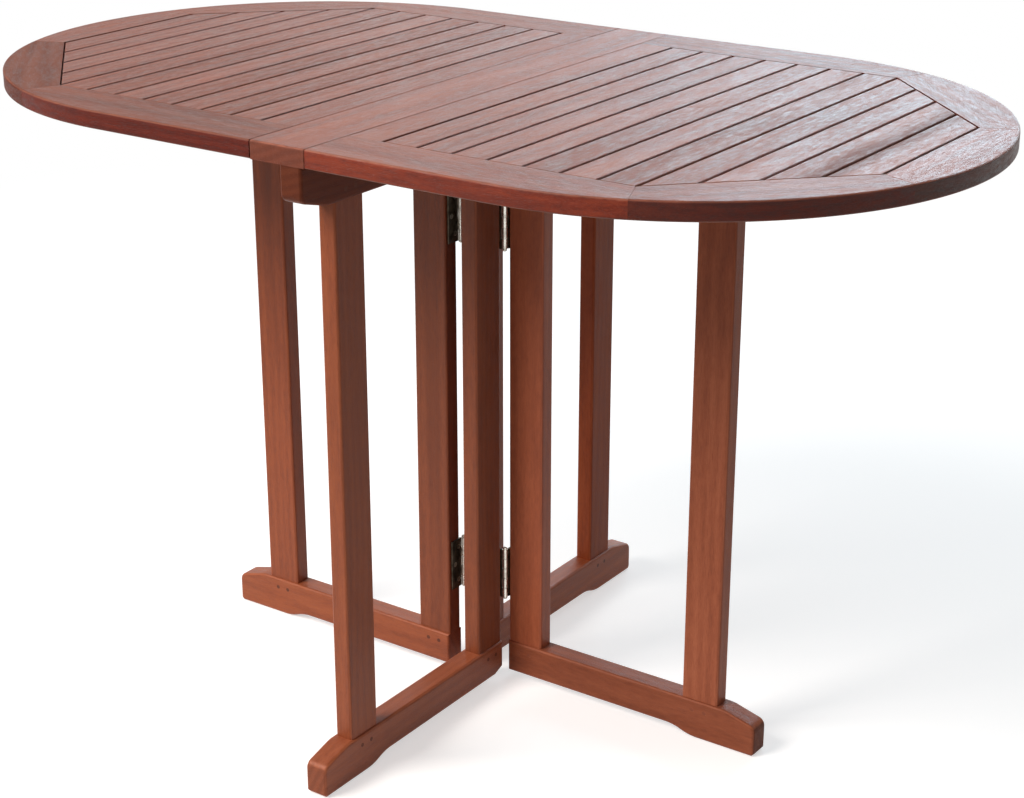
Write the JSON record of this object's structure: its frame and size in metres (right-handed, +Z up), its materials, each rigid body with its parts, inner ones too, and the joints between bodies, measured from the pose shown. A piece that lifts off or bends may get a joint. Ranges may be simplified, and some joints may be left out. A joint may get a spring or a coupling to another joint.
{
  "type": "gateleg table",
  "caption": "Oval folding wooden table with a slatted top in hinged leaves on a pinwheel of flat leg frames; the gates swing out to carry the leaves.",
  "frame": {"origin": "on the floor under the middle of the top", "axes": "+X along the length to the right leaf, +Y to the far side, +Z up"},
  "size_m": [1.21, 0.7, 0.74],
  "materials": {
    "top_wood": "oiled",
    "slat_wood": "oiled",
    "frame_wood": "oiled",
    "peg_wood": "oiled",
    "hinge_steel": "satin",
    "screw_steel": "satin"
  },
  "bodies": {
    "stand": {"centre_board": "top_wood", "near_frame_outer_leg": "frame_wood", "near_frame_inner_leg": "frame_wood", "near_frame_top_rail": "frame_wood", "near_frame_foot_rail": "frame_wood", "near_frame_pegs": "peg_wood", "far_frame_outer_leg": "frame_wood", "far_frame_inner_leg": "frame_wood", "far_frame_top_rail": "frame_wood", "far_frame_foot_rail": "frame_wood", "far_frame_pegs": "peg_wood", "top_rail_screws": "screw_steel", "gate_hinge_frame_screws": "screw_steel", "gate_hinge_pins": "hinge_steel", "leaf_hinge_pins": "hinge_steel", "right_gate_hinge_frame_leaves": "hinge_steel", "left_gate_hinge_frame_leaves": "hinge_steel", "right_leaf_hinge_board_leaves": "hinge_steel", "left_leaf_hinge_board_leaves": "hinge_steel"},
    "right_gate": {"right_gate_outer_leg": "frame_wood", "right_gate_inner_leg": "frame_wood", "right_gate_top_rail": "frame_wood", "right_gate_foot_rail": "frame_wood", "right_gate_pegs": "peg_wood", "right_gate_hinge_leaves": "hinge_steel", "right_gate_hinge_screws": "screw_steel"},
    "left_gate": {"left_gate_outer_leg": "frame_wood", "left_gate_inner_leg": "frame_wood", "left_gate_top_rail": "frame_wood", "left_gate_foot_rail": "frame_wood", "left_gate_pegs": "peg_wood", "left_gate_hinge_leaves": "hinge_steel", "left_gate_hinge_screws": "screw_steel"},
    "right_leaf": {"right_leaf_inner_rail": "top_wood", "right_leaf_near_rail": "top_wood", "right_leaf_near_corner": "top_wood", "right_leaf_end_piece": "top_wood", "right_leaf_far_corner": "top_wood", "right_leaf_far_rail": "top_wood", "right_leaf_long_slats": "slat_wood", "right_leaf_short_slats": "slat_wood", "right_leaf_mitre_tongues": "top_wood", "right_leaf_batten": "top_wood", "right_leaf_gate_stop": "top_wood", "right_leaf_batten_screws": "screw_steel", "right_leaf_hinge_leaves": "hinge_steel"},
    "left_leaf": {"left_leaf_inner_rail": "top_wood", "left_leaf_near_rail": "top_wood", "left_leaf_near_corner": "top_wood", "left_leaf_end_piece": "top_wood", "left_leaf_far_corner": "top_wood", "left_leaf_far_rail": "top_wood", "left_leaf_long_slats": "slat_wood", "left_leaf_short_slats": "slat_wood", "left_leaf_mitre_tongues": "top_wood", "left_leaf_batten": "top_wood", "left_leaf_gate_stop": "top_wood", "left_leaf_batten_screws": "screw_steel", "left_leaf_hinge_leaves": "hinge_steel"}
  },
  "joints": [
    {"name": "right_gate_fold", "type": "hinge", "parent": "stand", "child": "right_gate", "pos_m": [0.031, 0, 0.361], "axis": [0, 0, 1], "range_deg": [0, 90]},
    {"name": "left_gate_fold", "type": "hinge", "parent": "stand", "child": "left_gate", "pos_m": [-0.031, 0, 0.361], "axis": [0, 0, 1], "range_deg": [0, 90]},
    {"name": "right_leaf_lift", "type": "hinge", "parent": "stand", "child": "right_leaf", "pos_m": [0.0357, 0, 0.7172], "axis": [0, -1, 0], "range_deg": [0, 1.5]},
    {"name": "left_leaf_lift", "type": "hinge", "parent": "stand", "child": "left_leaf", "pos_m": [-0.0357, 0, 0.7172], "axis": [0, 1, 0], "range_deg": [0, 1.5]}
  ]
}
